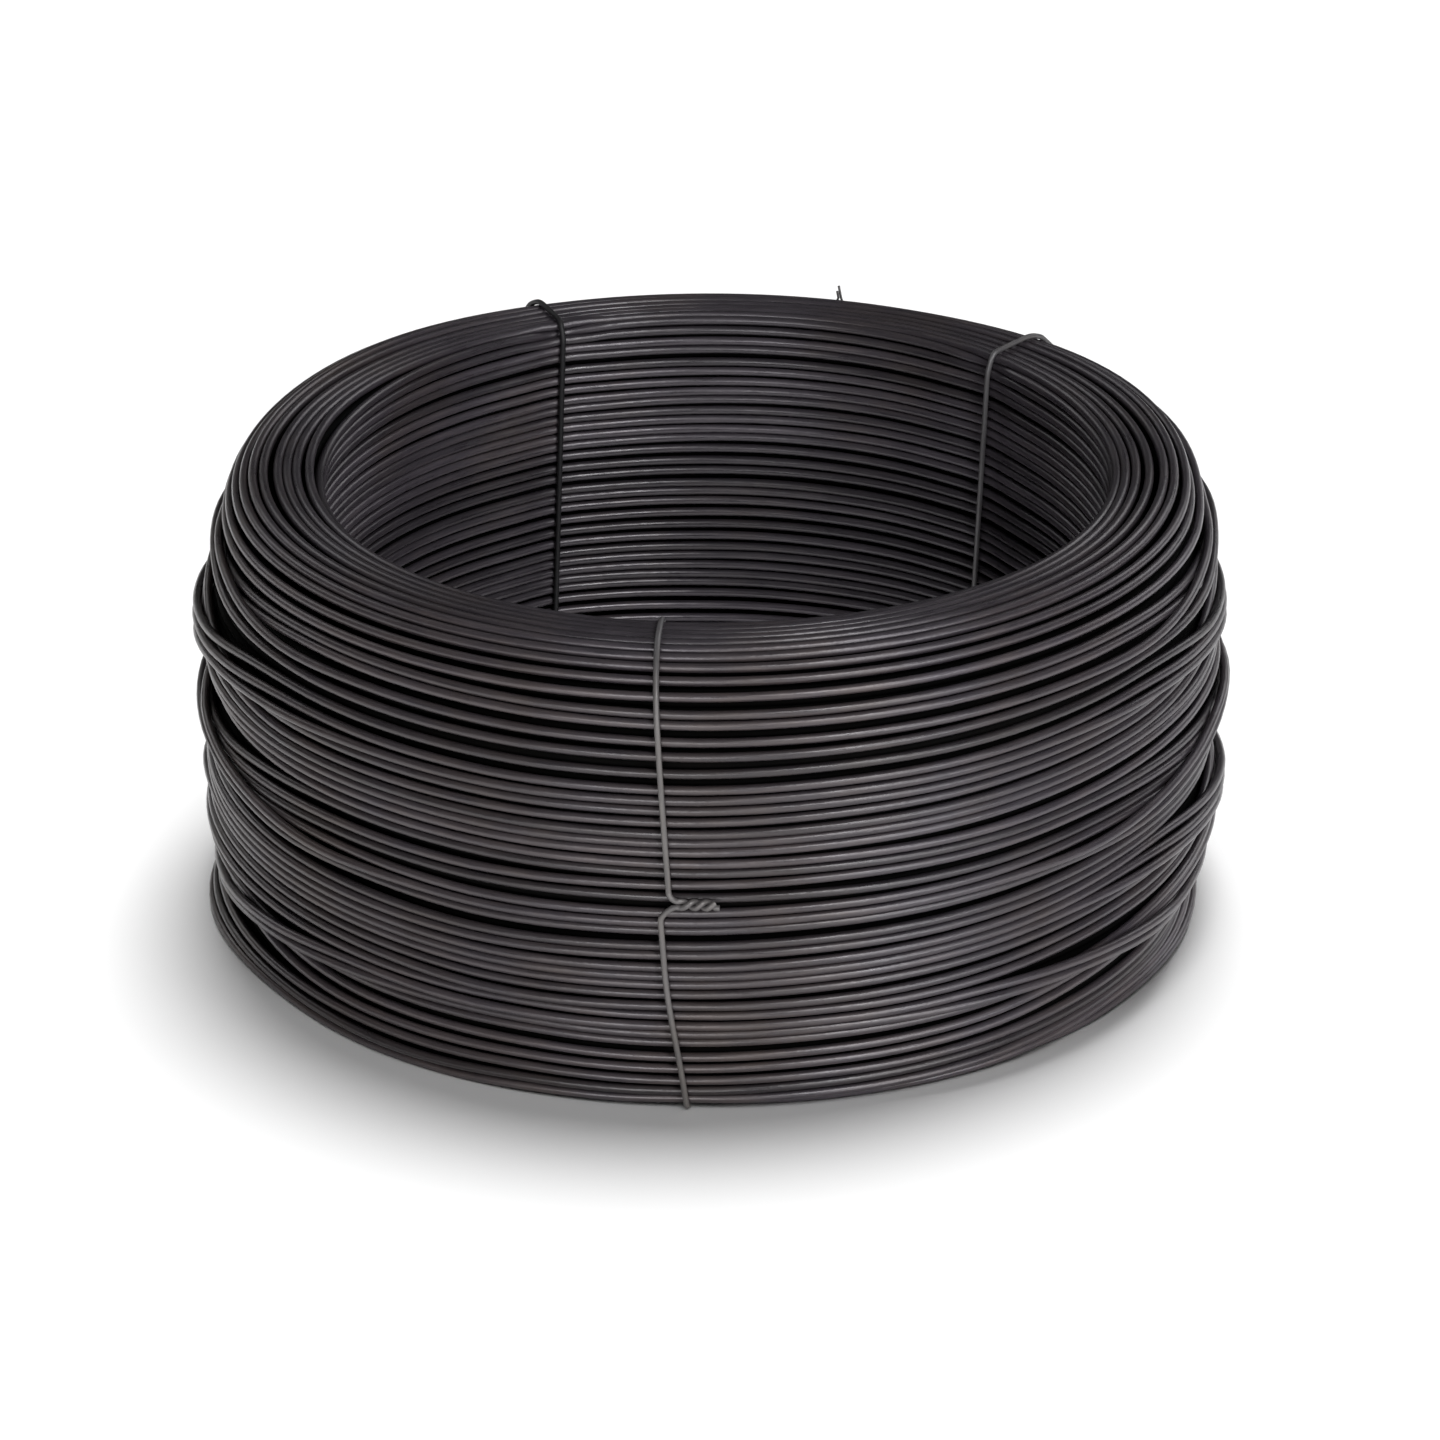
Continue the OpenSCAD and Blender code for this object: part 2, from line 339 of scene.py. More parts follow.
# Where the wall swells or sinks: angle round the axis, height, reach round, reach up and down, stand-off
SWELLS = [
    (0, 0.180, 40, 0.040, -0.0040),
    (-4, 0.107, 40, 0.010, -0.0045),
    (0, 0.023, 30, 0.014, -0.0130),
    (346, 0.001, 16, 0.008, 0.0015),
    (343, 0.046, 14, 0.012, -0.0055),
    (1, 0.140, 10, 0.009, 0.0030),
    (0, 0.208, 30, 0.010, -0.0030),
    (0, 0.256, 16, 0.016, -0.0050),
    (183, 0.248, 28, 0.022, -0.0090),
    (181, 0.117, 40, 0.010, -0.0035),
    (180, 0.225, 40, 0.024, -0.0035),
    (178, 0.155, 40, 0.012, -0.0070),
    (182, 0.062, 40, 0.014, 0.0045),
    (183, 0.036, 50, 0.014, -0.0040),
    (186, 0.002, 22, 0.014, 0.0115),
    (231, 0.002, 16, 0.014, 0.0055),
    (322, 0.004, 14, 0.014, -0.0030),
    (350, 0.242, 22, 0.014, -0.0065),
    (2, 0.056, 40, 0.010, 0.0040),
    (2, 0.158, 40, 0.008, 0.0030),
    (225, 0.100, 30, 0.016, 0.0025),
    (300, 0.060, 28, 0.012, 0.0025),
    (90, 0.110, 45, 0.020, 0.0030),
]
# Where the lip leans into the eye: angle round the axis, height, reach round, reach down, stand-off
LIP_LEANS = [
    (176, 0.278, 40, 0.030, 0.0060),
]
# Where the shoulder stands fuller than in front: angle round the axis, reach round, stand-off
FULL_SHOULDER = [
    (100, 70, 0.0048),
    (136, 22, 0.0035),
    (30, 28, 0.0055),
]
# Bundles that cross over their neighbours at the coil's sides, so turns lie in another order in front than
# behind: height of the lowest turn, turns that ride over, turns crossed (below zero where the riders come
# down in front), angles of the two crossings, and how slack the riders lie on the turns they cross at each
CROSSINGS = [
    (0.014, 2, 3, 203, 324, 1.0, 1.0),
    (0.054, 3, 3, 160, 350, 1.0, 1.1),
    (0.108, 2, -4, 200, 338, 1.0, 1.0),
    (0.174, 3, 3, 192, 348, 1.0, 1.0),
    (0.218, 2, -2, 197, 344, 1.0, 1.0),
]
FRONT_ANGLE = 270
# A crossing takes so many degrees to each side, and a rider rises so many stations ahead of what it crosses
CROSS_REACH = 26
LIFT_REACH = 4
# Shares of its normal by which a point is on the wall or in the eye, on a flat end, or past a corner
FACES_SIDE = 0.75
FACES_END = 0.2
PAST_CORNER = 0.7
CORNER_ROOM = 0.07
# Turns ride up where a chance value, blended over a reach in turns, passes a level, and fully a step above
RIDE_REACH = 0.11
RIDE_LEVEL = 1.2
RIDE_FULL = 0.9
RIDE_BLEND = 0.02
# Slack between turns comes in bands and in short strays, each with its weight and its reach in turns
BAND_WEIGHT = 0.8
BAND_REACH = 0.4
STRAY_WEIGHT = 0.6
STRAY_REACH = 0.1
# Slack on the wall: how sharply bands part, how far they close up, and its least and most
BAND_CONTRAST = 0.9
BAND_CLOSING = 0.4
BAND_LEAST = 0.05
BAND_MOST = 2.3
# Slack in the eye, which is more even: its mean, how far it varies, and its least and most
EYE_MEAN = 0.7
EYE_VARIES = 0.7
EYE_LEAST = 0.1
EYE_MOST = 3
# How slack the turns lie on the coil's two ends, in front and at the sides, against those on the wall
FRONT_END_SLACK = 0.22
SIDE_END_SLACK = 0.75
SIDE_POWER = 4
# Each turn wavers in and out a little, and its tone changes along it, over these reaches in turns
WAVER = 0.0004
WAVER_REACH = 0.2
TONE_RUN = 0.5


def turn_apart(angle, place):
    """Angle between a place round the axis and others, in degrees, the short way round."""
    return (angle - place + 180) % 360 - 180


def nearness(angle, z, place, height, round_reach, up_reach):
    """How near points are to a place on the coil: 1 there, fading to 0 over the two reaches."""
    return np.exp(-((turn_apart(angle, place) / round_reach) ** 2) - ((z - height) / up_reach) ** 2)


def fullness(angle, out_r, out_z):
    """How far the shoulder stands off its even shape, under the ties too."""
    full = np.zeros_like(out_r)
    for place, round_reach, depth in FULL_SHOULDER:
        near = np.exp(-((turn_apart(angle, place) / round_reach) ** 2))
        full += 2 * depth * np.clip(out_r, 0, 1) * np.clip(out_z, 0, 1) * near
    return full


def stand_off(angle, r, z, out_r, out_z):
    """How far the winding stands off its even round shape: the swells of its wall, the lean of its lip,
    the fullness of its shoulder, and the turns drawn in at the ties."""
    off = np.zeros_like(angle)
    clear = np.ones_like(angle)
    on_wall = np.clip(out_r, 0, 1)
    in_eye = np.clip(-out_r, 0, 1)
    for *place, depth in SWELLS:
        off += depth * on_wall * nearness(angle, z, *place)
    for *place, depth in LIP_LEANS:
        off += depth * in_eye * nearness(angle, z, *place)
    drawn = np.zeros_like(angle)
    eye_draw = TIE_DRAW + TIE_GAP
    floor_draw = 2 * TIE_R + TIE_GAP
    for tie in TIES.values():
        aside = np.radians(turn_apart(angle, tie["angle"])) * r
        aside = aside + np.tan(math.radians(tie["lean"])) * (z - TWIST_Z)
        near = np.exp(-((aside / DRAW_REACH) ** 2))
        drawn += near * (eye_draw * in_eye + floor_draw * np.clip(-out_z, 0, 1))
        drawn += near * 2 * LIP_DRAW * in_eye * np.clip(out_z, 0, 1)
        clear *= 1 - near
    return off * clear + fullness(angle, out_r, out_z) - drawn


def along_rod(turns, stations, reach, seed):
    """Smooth chance values along a rod of so many turns, blended over a reach in turns."""
    chance = np.random.default_rng(seed).normal(size=turns * stations)
    smooth = softened(chance, reach * stations)
    return smooth / smooth.std()


def eased(share):
    """A share from 0 to 1 that starts and ends gently."""
    share = np.clip(share, 0, 1)
    return share * share * (3 - 2 * share)


PUSH_ROUNDS = 30


def pushed_apart(r, z):
    """Turns that press into each other at a station, pushed apart in the section until they only touch."""
    itself = ROD_D * np.eye(len(r))[:, :, None]
    for _ in range(PUSH_ROUNDS):
        apart_r = r[:, None, :] - r[None, :, :]
        apart_z = z[:, None, :] - z[None, :, :]
        apart = np.hypot(apart_r, apart_z) + itself
        push = np.maximum(ROD_D - apart, 0) / (2 * apart)
        r = r + np.sum(push * apart_r, axis=1)
        z = np.maximum(z + np.sum(push * apart_z, axis=1), ROD_R)
    return r, z


def wind(turns, stations, inset, ride_up, crossings, seed):
    """Lays a rod turn beside turn round the section line, and gives its centre line, the way out of the
    coil, and a tone for each point. A step is at least the rod's diameter, or less where one of the two
    turns rides up by as much as the step lacks. Riders lie on top of the turns that they cross, and turns
    that still press into each other are pushed apart."""
    line = section_line(inset)
    turn = np.arange(turns * stations) / stations
    swept = END_ANGLE + 360 * (turn % 1)
    rough_at = turn / turns * line["length"]
    facing = on_line(line, "out_r", rough_at)
    wall = facing > FACES_SIDE
    eye = facing < -FACES_SIDE
    flat = np.abs(facing) < FACES_END

    crossing = np.zeros_like(turn)
    for _, _, _, left, right, _, _ in crossings:
        for place in (left, right):
            crossing = np.maximum(crossing, eased(2 - np.abs(turn_apart(swept, place)) / CROSS_REACH))
    for tie in TIES.values():
        pressed = eased(2 - np.abs(turn_apart(swept, tie["angle"])) / PRESS_REACH)
        crossing = np.maximum(crossing, pressed)
    loose = along_rod(turns, stations, RIDE_REACH, seed)
    climb = np.clip((loose - RIDE_LEVEL) / RIDE_FULL, 0, 1) * wall * ride_up * (1 - crossing)
    climb = softened(climb, RIDE_BLEND * stations)
    climb = np.maximum(climb - np.maximum(np.roll(climb, stations), np.roll(climb, -stations)), 0)
    room = 1 + CORNER_ROOM * softened(np.where(wall | eye | flat, 0.0, 1.0), stations / 2)
    tight = ROD_D * room * np.cos(np.maximum(climb, np.roll(climb, -stations)))
    slack = BAND_WEIGHT * along_rod(turns, stations, BAND_REACH, seed + 1)
    slack = slack + STRAY_WEIGHT * along_rod(turns, stations, STRAY_REACH, seed + 2)
    bands = np.clip(np.exp(BAND_CONTRAST * slack) - BAND_CLOSING, BAND_LEAST, BAND_MOST)
    evenly = np.clip(EYE_MEAN + EYE_VARIES * slack, EYE_LEAST, EYE_MOST)
    in_eye = softened(np.where(eye, 1.0, 0.0), stations / 2)
    on_ends = softened(np.where(wall | eye, 0.0, 1.0), stations)
    to_side = np.cos(np.radians(swept)) ** SIDE_POWER
    end_slack = FRONT_END_SLACK + (SIDE_END_SLACK - FRONT_END_SLACK) * to_side
    slack = (bands + (evenly - bands) * in_eye) * (1 + (end_slack - 1) * on_ends)

    shape = (turns, stations)
    tight = tight.reshape(shape)
    slack = slack.reshape(shape)
    step = tight + slack * (line["length"] - tight.sum(0)) / slack.sum(0)
    slot_at = np.arange(stations) / stations * step[0, 0] + np.cumsum(step, axis=0) - step

    swept = swept.reshape(shape)
    slot = np.arange(turns)[:, None] * np.ones(stations)
    slackness = np.zeros(shape)
    first_at = slot_at[:, 0]
    up_wall = np.where(on_line(line, "out_r", first_at) > PAST_CORNER, on_line(line, "z", first_at), -1)
    for height, riders, crossed, left, right, left_slack, right_slack in crossings:
        lowest = np.argmax(up_wall > height)
        lower = riders if crossed > 0 else -crossed
        upper = riders + abs(crossed) - lower
        in_front = eased((swept[0] - left) / (2 * CROSS_REACH) + 0.5)
        in_front = in_front - eased((swept[0] - right) / (2 * CROSS_REACH) + 0.5)
        slot[lowest : lowest + lower] += upper * in_front
        slot[lowest + lower : lowest + lower + upper] -= lower * in_front
        first_rider = lowest if crossed > 0 else lowest + lower
        side_slack = np.where(swept[0] < FRONT_ANGLE, left_slack, right_slack)
        slackness[first_rider : first_rider + riders] = side_slack
    slot_rise = ROD_D * np.sin(climb.reshape(shape))
    at = np.empty(shape)
    climbed = np.empty(shape)
    for station in range(stations):
        at[:, station] = np.interp(slot[:, station], np.arange(turns), slot_at[:, station])
        climbed[:, station] = np.interp(slot[:, station], np.arange(turns), slot_rise[:, station])

    r = on_line(line, "r", at)
    z = on_line(line, "z", at)
    out_r = on_line(line, "out_r", at)
    out_z = on_line(line, "out_z", at)
    rise = climbed + stand_off(swept % 360, r, z, out_r, out_z)
    waver = along_rod(turns, stations, WAVER_REACH, seed + 3).reshape(shape)
    rise = rise + WAVER * waver * np.clip(out_r, 0, 1)
    lying = slackness[:, 0] == 0
    for rider in np.flatnonzero(~lying):
        apart = np.abs(at[lying] - at[rider])
        lift = rise[lying] - rise[rider] + np.sqrt(np.maximum(ROD_D**2 - apart**2, 0))
        lift = np.where(apart < ROD_D, lift, 0).max(axis=0)
        lift = np.max([np.roll(lift, shift) for shift in range(-LIFT_REACH, LIFT_REACH + 1)], axis=0)
        rise[rider] += slackness[rider] * softened(np.maximum(lift, 0), LIFT_REACH / 2)
    rise -= END_DIVE * eased((turn.reshape(shape) - turns + DIVE_BEGINS) / DIVE_RUN)
    r, z = pushed_apart(r + out_r * rise, np.maximum(z + out_z * rise, ROD_R))
    r = r.ravel()
    z = z.ravel()
    cos = np.cos(np.radians(swept)).ravel()
    sin = np.sin(np.radians(swept)).ravel()
    out_r = out_r.ravel()
    return {
        "path": np.stack([r * cos, r * sin, z], axis=-1),
        "out": np.stack([out_r * cos, out_r * sin, out_z.ravel()], axis=-1),
        "tone": along_rod(turns, stations, TONE_RUN, seed + 4),
        "at": slot_at.ravel(),
        "line": line,
    }


# Edges sharper than this stay crisp, as at a cut end
CRISP_EDGE = math.radians(60)


def wire_piece(name, path, out, tone, radius, sides):
    """A round wire along a path, closed at both ends. Its seam lies on the side away from out."""
    along = np.gradient(path, axis=0)
    along /= np.linalg.norm(along, axis=1, keepdims=True)
    out = out - along * np.sum(out * along, axis=1, keepdims=True)
    out /= np.linalg.norm(out, axis=1, keepdims=True)
    across = np.cross(along, out)
    turn = math.pi + np.arange(sides) * 2 * math.pi / sides
    ring = np.cos(turn)[None, :, None] * out[:, None, :]
    ring = ring + np.sin(turn)[None, :, None] * across[:, None, :]
    points = (path[:, None, :] + radius * ring).reshape(-1, 3)
    rings = len(path)
    quads = grid_faces(rings, sides, wrap_rows=False)[:, ::-1]
    first_end = list(range(sides))
    last_end = [(rings - 1) * sides + side for side in reversed(range(sides))]
    piece = mesh_piece(name, points, quads.tolist() + [first_end, last_end])

    run = np.concatenate([[0], np.cumsum(np.linalg.norm(np.diff(path, axis=0), axis=1))])
    row = (quads // sides).ravel()
    column = (quads % sides).ravel()
    last_column = np.repeat((quads % sides).max(axis=1) == sides - 1, 4)
    wraps = np.repeat((quads % sides).min(axis=1) == 0, 4) & last_column & (column == 0)
    lay = np.stack([run[row], (column + wraps * sides) / sides], axis=-1)
    lay = np.concatenate([lay, np.zeros((2 * sides, 2))])
    piece.data.uv_layers.new(name="lay").data.foreach_set("uv", lay.ravel())
    mark = piece.data.attributes.new("tone", "FLOAT", "POINT")
    mark.data.foreach_set("value", np.repeat(tone, sides))
    piece.data.set_sharp_from_angle(angle=CRISP_EDGE)
    return piece


UNDER_INSET = 1.12 * ROD_D
UNDER_SIDES = 7
# The under layer's tone is lowered by this much: painted shade for its place beneath the outer turns
UNDER_PAINTED_SHADE = 1
UNDER = wind(turns=100, stations=96, inset=UNDER_INSET, ride_up=0.0, crossings=(), seed=41)
under_tone = UNDER["tone"] - UNDER_PAINTED_SHADE
under_turns = wire_piece("under_turns", UNDER["path"], UNDER["out"], under_tone, ROD_R, UNDER_SIDES)
finished(under_turns, SHADE_PAINTED_ROD, "rod", "coil")

RIDE_UP = math.radians(52)
SHOWN = wind(turns=94, stations=144, inset=0.0, ride_up=RIDE_UP, crossings=CROSSINGS, seed=7)
SHOWN_SIDES = 10
shown_out_r = on_line(SHOWN["line"], "out_r", SHOWN["at"])
shown_out_z = on_line(SHOWN["line"], "out_z", SHOWN["at"])
eye_points = np.flatnonzero(shown_out_r < -PAST_CORNER)
floor_points = np.flatnonzero(shown_out_z < -PAST_CORNER)
eye_foot = (eye_points[-1] + floor_points[0]) // 2
breaks = {
    "top_turns": (0, eye_points[0]),
    "eye_turns": (eye_points[0], eye_foot),
    "floor_turns": (eye_foot, floor_points[-1]),
    "wall_turns": (floor_points[-1], len(SHOWN["at"]) - 1),
}
hidden_end = SHOWN["path"][:RUN_UNDER] - END_DIVE * SHOWN["out"][:RUN_UNDER]
for name, (start, end) in breaks.items():
    part = slice(start, end + 1)
    path = SHOWN["path"][part]
    out = SHOWN["out"][part]
    tone = SHOWN["tone"][part]
    if name == "wall_turns":
        path = np.concatenate([path, hidden_end])
        out = np.concatenate([out, SHOWN["out"][:RUN_UNDER]])
        tone = np.concatenate([tone, SHOWN["tone"][:RUN_UNDER]])
    shown_turns = wire_piece(name, path, out, tone, ROD_R, SHOWN_SIDES)
    finished(shown_turns, BLACK_ROD, "rod", "coil")


# Ties
# Three lengths of softer 3.4 mm annealed wire, each passed through the eye and round the winding by hand.
# Their two ends are twisted together on the belly with a tool, and the twist is laid flat to one side.
TWIST_L = 0.021
TWIST_TURNS = 1.6
TAIL_L = 0.0025
TIE_SIDES = 12
TIE_STEP = 0.0015
BEND_STEPS = 8
STRAND_STEPS = 60
WIND_IN_SHARE = 0.1
# A taut tie is tried in steps of so many degrees round the section, and bends no sharper than this reach
TAUT_STEP = 0.25
TIE_BEND_REACH = 0.002
# The bow sets in over this height below the twist, fades over this share of the way to the floor, and
# stays on the outer wall, within this depth of the belly
BOW_START = 0.010
BOW_SHARE = 0.7
BOW_DEPTH = 0.02
# Lightness comes and goes along a tie by this much, and through this angle from end to end
TIE_TONE = 0.6
TIE_TONE_RUN = 9
TIE_GREY = (0.120, 0.116, 0.121, 1)
TIE_BROWN = (0.104, 0.094, 0.086, 1)
TIE_WIRE = rod_finish("annealed_tie_wire", TIE_GREY, TIE_BROWN, rough=0.4, metal=0.3, gloss=0.5)
# The back-left tie is the same wire as the others, given a near-black copy of its finish: painted shade, as
# it lies in the shaded eye
TIE_PAINTED_SHADE = (0.016, 0.0155, 0.017, 1)
SHADE_PAINTED_TIE_WIRE = rod_finish("shade_painted_tie_wire", TIE_PAINTED_SHADE, TIE_PAINTED_SHADE, rough=0.5, metal=0.2, gloss=0.3)


def turns_under(angle, lean):
    """Distances from the axis and heights of the turns where a tie crosses them."""
    x, y, z = SHOWN["path"].T
    r = np.hypot(x, y)
    aside = np.radians(turn_apart(np.degrees(np.arctan2(y, x)), angle)) * r
    aside = aside + math.tan(math.radians(lean)) * (z - TWIST_Z)
    before = np.flatnonzero((aside[:-1] * aside[1:] <= 0) & (np.abs(aside[:-1]) < EYE_R / 2))
    share = aside[before] / (aside[before] - aside[before + 1])
    turn_r = r[before] + share * (r[before + 1] - r[before])
    turn_z = z[before] + share * (z[before + 1] - z[before])
    return turn_r, turn_z


def tie_run(angle, lean):
    """Loop of a tie in its own plane, drawn taut over the turns, from just above its twist over the
    shoulder, down the eye and back up."""
    turn_r, turn_z = turns_under(angle, lean)
    facing = np.radians(np.arange(0, 360, TAUT_STEP))
    outermost = np.argmax(np.outer(np.cos(facing), turn_r) + np.outer(np.sin(facing), turn_z), axis=1)
    off = ROD_R + TIE_GAP + TIE_R
    u = np.maximum(turn_r[outermost] + off * np.cos(facing), EYE_R + TIE_DRAW - TIE_R)
    z = np.maximum(turn_z[outermost] + off * np.sin(facing), TIE_R + TIE_GAP / 2)
    u = np.append(u, u[0])
    z = np.append(z, z[0])
    run = np.concatenate([[0], np.cumsum(np.hypot(np.diff(u), np.diff(z)))])
    at = np.arange(0, run[-1], LINE_STEP)
    u = softened(np.interp(at, run, u), TIE_BEND_REACH / LINE_STEP)
    z = softened(np.interp(at, run, z), TIE_BEND_REACH / LINE_STEP)
    start = np.argmin(np.abs(z - TWIST_Z) + (u < BELLY_R))
    return np.roll(u, -start), np.roll(z, -start)


def tie_path(angle, lean, bow):
    """Centre line of a whole tie: one strand of the twist, the loop, and the other strand. The loop is
    bowed aside below the twist."""
    u, z = tie_run(angle, lean)
    twist_u = u[0]
    axis_u = twist_u + TIE_R
    strand_r = TIE_R + TIE_GAP / 2
    bend_r = ROD_R + TIE_GAP + TIE_R
    clear = np.abs(z - TWIST_Z) > strand_r + bend_r + TIE_STEP
    outside = u > BELLY_R - ROD_D
    keep = np.flatnonzero(clear | ~outside)[:: round(TIE_STEP / LINE_STEP)]
    loop = [(u[i], z[i], 0.0) for i in keep]

    def twisted_end(up, run_on):
        """One end, bent aside from the loop and wound round the other end's strand."""
        points = []
        for i in range(BEND_STEPS):
            turn = i / BEND_STEPS * math.pi / 2
            points.append(
                (
                    twist_u + (axis_u - twist_u) * i / BEND_STEPS,
                    TWIST_Z + up * (strand_r + bend_r * (1 - math.sin(turn))),
                    bend_r * (1 - math.cos(turn)),
                )
            )
        shares = [i / STRAND_STEPS for i in range(STRAND_STEPS + 1)]
        for share in shares:
            wound_share = share - WIND_IN_SHARE * (1 - math.exp(-share / WIND_IN_SHARE))
            wound = 2 * math.pi * TWIST_TURNS * wound_share
            aside = bend_r + TWIST_L * share
            points.append(
                (axis_u - up * strand_r * math.sin(wound), TWIST_Z + up * strand_r * math.cos(wound), aside)
            )
        if run_on:
            points.append((points[-1][0], points[-1][1], points[-1][2] + run_on))
        return points

    whole = np.array(twisted_end(1, TAIL_L)[::-1] + loop + twisted_end(-1, 0))
    side = whole[:, 2] - math.tan(math.radians(lean)) * (whole[:, 1] - TWIST_Z)
    half_way = np.clip(1 - np.abs(whole[:, 1] - TWIST_Z) / (COIL_H / 2), 0, 1)
    below = eased((TWIST_Z - strand_r - whole[:, 1]) / BOW_START) * eased(half_way / BOW_SHARE)
    side = side - bow * below * (whole[:, 0] > BELLY_R - BOW_DEPTH)
    cos = math.cos(math.radians(angle))
    sin = math.sin(math.radians(angle))
    x = whole[:, 0] * cos - side * sin
    y = whole[:, 0] * sin + side * cos
    return np.stack([x, y, whole[:, 1]], axis=-1)


# A path that sets out with more than this upward share is too steep to be crossed with the upright
STEEP = 0.9


def carried_round(path):
    """A direction across a path at each of its points, turned as little as the path's own turns ask."""
    along = np.gradient(path, axis=0)
    along /= np.linalg.norm(along, axis=1, keepdims=True)
    across = np.cross(along[0], (1, 0, 0) if abs(along[0][2]) > STEEP else (0, 0, 1))
    carried = []
    for ahead in along:
        across = across - ahead * (across @ ahead)
        across = across / np.linalg.norm(across)
        carried.append(across)
    return np.array(carried)


for number, (name, tie) in enumerate(TIES.items()):
    path = tie_path(tie["angle"], tie["lean"], tie["bow"])
    tone = TIE_TONE * np.sin(np.linspace(0, TIE_TONE_RUN, len(path)) + number)
    tie_wire = wire_piece(name + "_wire", path, carried_round(path), tone, TIE_R, TIE_SIDES)
    # The back-left tie takes the painted-shade copy of the tie wire's finish
    finished(tie_wire, SHADE_PAINTED_TIE_WIRE if name == "tie_back_left" else TIE_WIRE, "tie_wire", name)


# End binding
# A short piece of thin wire wrapped twice round the rod's outer end, on the back of the shoulder.
# Its two ends are pinched together with pliers and left standing up.
BINDING_R = 0.0008
BINDING_SIDES = 8
BINDING_LOOPS = 2
LOOP_POINTS = 24
TAIL_RISE = 0.0105
SHORT_TAIL = 0.65
PINCH_RISE = 0.0025
TAIL_LEAN = 0.2
PINCH_POINTS = 5
TAIL_POINTS = 8
# Wire radii from loop to loop, and from the pinch to each tail
LOOP_PITCH = 2.2
PINCH_HALF = 1.1
# Station of the rod that the binding holds
BOUND_AT = 2
UP = np.array((0, 0, 1))
end_path = SHOWN["path"][BOUND_AT]
end_out = SHOWN["out"][BOUND_AT]
end_along = SHOWN["path"][BOUND_AT + 1] - SHOWN["path"][BOUND_AT - 1]
end_along /= np.linalg.norm(end_along)
end_out = end_out - end_along * (end_out @ end_along)
end_out /= np.linalg.norm(end_out)
end_across = np.cross(end_along, end_out)
loop_turn = np.linspace(0, 2 * math.pi * BINDING_LOOPS, LOOP_POINTS * BINDING_LOOPS + 1)
loop_points = (
    end_path
    + np.outer(np.cos(loop_turn) * (ROD_R + BINDING_R), end_out)
    + np.outer(np.sin(loop_turn) * (ROD_R + BINDING_R), end_across)
    + np.outer(loop_turn / (2 * math.pi) * LOOP_PITCH * BINDING_R, end_along)
)
pinch = (loop_points[0] + loop_points[-1]) / 2 + PINCH_RISE * UP
upright = UP + TAIL_LEAN * end_along
half = len(loop_points) // 2
binding_ends = ((-1, TAIL_RISE, "end_binding_a"), (1, SHORT_TAIL * TAIL_RISE, "end_binding_b"))
for side, rise, name in binding_ends:
    body = loop_points[: half + 1][::-1] if side < 0 else loop_points[half:]
    foot = pinch + side * PINCH_HALF * BINDING_R * end_along
    pinched = body[-1] + np.linspace(0, 1, PINCH_POINTS)[1:, None] * (foot - body[-1])
    tail = foot + np.linspace(0, 1, TAIL_POINTS)[1:, None] * (rise - PINCH_RISE) * upright
    strand = np.concatenate([body, pinched, tail])
    tone = np.zeros(len(strand))
    binding = wire_piece(name, strand, carried_round(strand), tone, BINDING_R, BINDING_SIDES)
    finished(binding, TIE_WIRE, "tie_wire")


# Studio
# A wide pale floor and a camera that looks down on the coil from in front, through a long lens.
# Far-off soft lights fall on the coil alone: a high one from the right, two low ones from in front and two
# weak ones from behind. Two more fall on the floor alone, so that the coil's shadow lies soft in front of it.
FLOOR_HALF = 30.0
FLOOR_WHITE = (0.95, 0.95, 0.95, 1)
FLOOR_ROUGH = 0.9
LENS_MM = 150
CAMERA_ELEVATION = math.radians(24.71)
CAMERA_DISTANCE = 3.655
CAMERA_TARGET = (0.0046, 0.0, 0.1075)

floor_corners = np.array(
    [
        (-FLOOR_HALF, -FLOOR_HALF, 0),
        (FLOOR_HALF, -FLOOR_HALF, 0),
        (FLOOR_HALF, FLOOR_HALF, 0),
        (-FLOOR_HALF, FLOOR_HALF, 0),
    ]
)
studio_floor = mesh_piece("studio_floor", floor_corners, [(0, 1, 2, 3)], smooth=False)
pale = bpy.data.materials.new("pale_floor")
pale.use_nodes = True
pale_shader = pale.node_tree.nodes["Principled BSDF"]
pale_shader.inputs["Base Color"].default_value = FLOOR_WHITE
pale_shader.inputs["Roughness"].default_value = FLOOR_ROUGH
studio_floor.data.materials.append(pale)


def as_vector(values):
    """A direction as Blender's own vector."""
    return Vector(tuple(float(value) for value in values))


def far_light(name, azimuth, elevation, spread, strength, lit):
    """A large soft light far off, so many degrees right of the camera and above the floor, that falls on
    some pieces alone."""
    lamp = bpy.data.lights.new(name, "SUN")
    lamp.angle = math.radians(spread)
    lamp.energy = strength
    light = bpy.data.objects.new(name, lamp)
    turn = math.radians(azimuth)
    rise = math.radians(elevation)
    toward = (-math.sin(turn) * math.cos(rise), math.cos(turn) * math.cos(rise), -math.sin(rise))
    light.rotation_mode = "QUATERNION"
    light.rotation_quaternion = as_vector(toward).to_track_quat("-Z", "Y")
    bpy.context.scene.collection.objects.link(light)
    lit_pieces = bpy.data.collections.new(name + "_pieces")
    for piece in lit:
        lit_pieces.objects.link(piece)
    light.light_linking.receiver_collection = lit_pieces


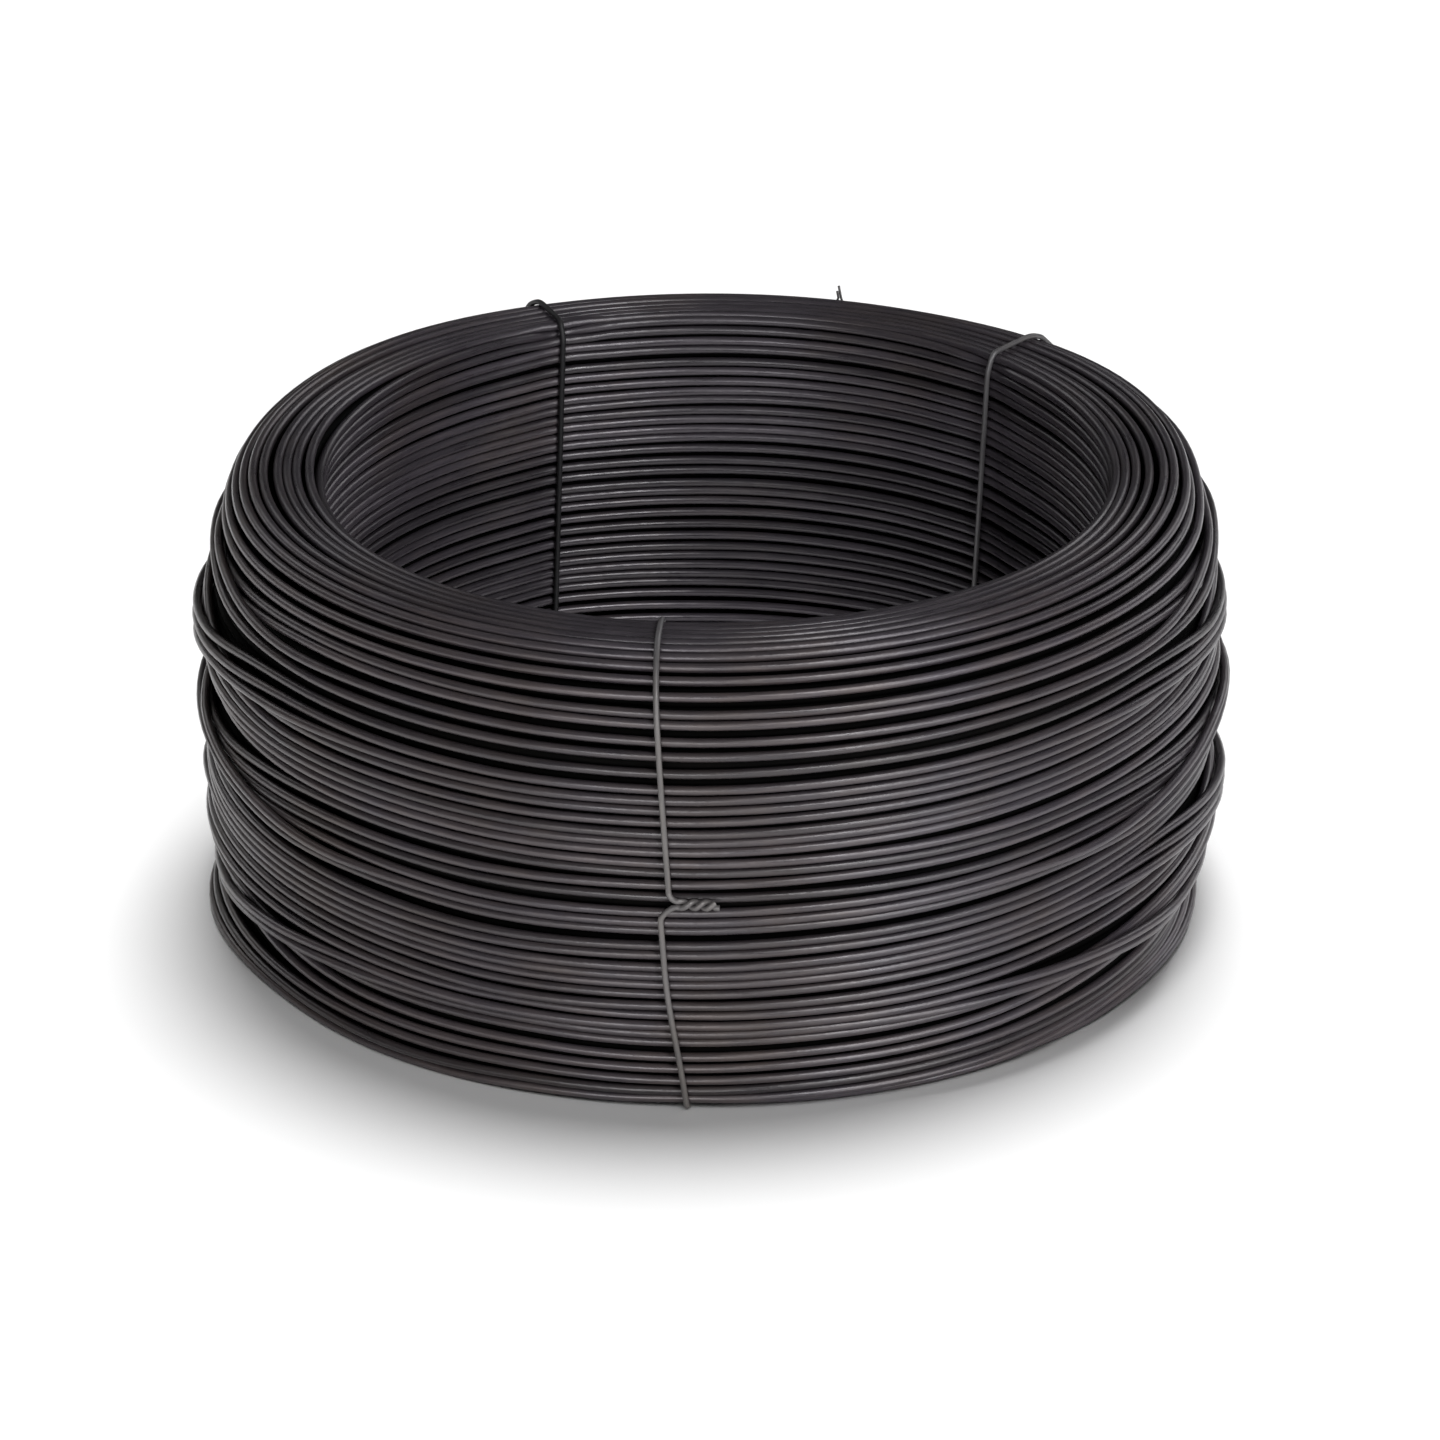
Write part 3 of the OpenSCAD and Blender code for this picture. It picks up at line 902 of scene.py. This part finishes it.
meshes = [piece for piece in bpy.context.scene.objects if piece.type == "MESH"]
on_coil = [piece for piece in meshes if piece != studio_floor]
on_floor = [studio_floor]
far_light("key_light", azimuth=32, elevation=40, spread=18, strength=1.45, lit=on_coil)
far_light("left_light", azimuth=-14, elevation=6, spread=32, strength=1.6, lit=on_coil)
far_light("right_light", azimuth=42, elevation=6, spread=32, strength=1.5, lit=on_coil)
far_light("back_right_light", azimuth=140, elevation=30, spread=30, strength=0.42, lit=on_coil)
far_light("back_left_light", azimuth=-140, elevation=34, spread=30, strength=0.26, lit=on_coil)
far_light("floor_back_light", azimuth=160, elevation=73, spread=30, strength=3.0, lit=on_floor)
far_light("floor_front_light", azimuth=0, elevation=55, spread=40, strength=0.8, lit=on_floor)

# The surround glows a little more from above than from the horizon
GLOW_LOW = 0.02
GLOW_HIGH = 0.09
GLOW_FROM = -0.05
GLOW_TO = 0.9
surround = bpy.data.worlds.new("soft_surround")
surround.use_nodes = True
sky = surround.node_tree
sky_at = new_node(sky, "ShaderNodeTexCoord")
sky_height = new_node(sky, "ShaderNodeSeparateXYZ")
sky.links.new(sky_at.outputs["Generated"], sky_height.inputs["Vector"])
sky_glow = new_node(
    sky,
    "ShaderNodeMapRange",
    {"From Min": GLOW_FROM, "From Max": GLOW_TO, "To Min": GLOW_LOW, "To Max": GLOW_HIGH},
)
sky.links.new(sky_height.outputs["Z"], sky_glow.inputs["Value"])
sky.links.new(sky_glow.outputs["Result"], sky.nodes["Background"].inputs["Strength"])
sky.nodes["Background"].inputs["Color"].default_value = (1, 1, 1, 1)
bpy.context.scene.world = surround
bpy.context.scene.view_settings.view_transform = "Standard"

lens = bpy.data.cameras.new("camera")
lens.lens = LENS_MM
camera = bpy.data.objects.new("camera", lens)
look = (0.0, math.cos(CAMERA_ELEVATION), -math.sin(CAMERA_ELEVATION))
camera.location = np.array(CAMERA_TARGET) - CAMERA_DISTANCE * np.array(look)
camera.rotation_mode = "QUATERNION"
camera.rotation_quaternion = as_vector(look).to_track_quat("-Z", "Y")
bpy.context.scene.collection.objects.link(camera)
bpy.context.scene.camera = camera
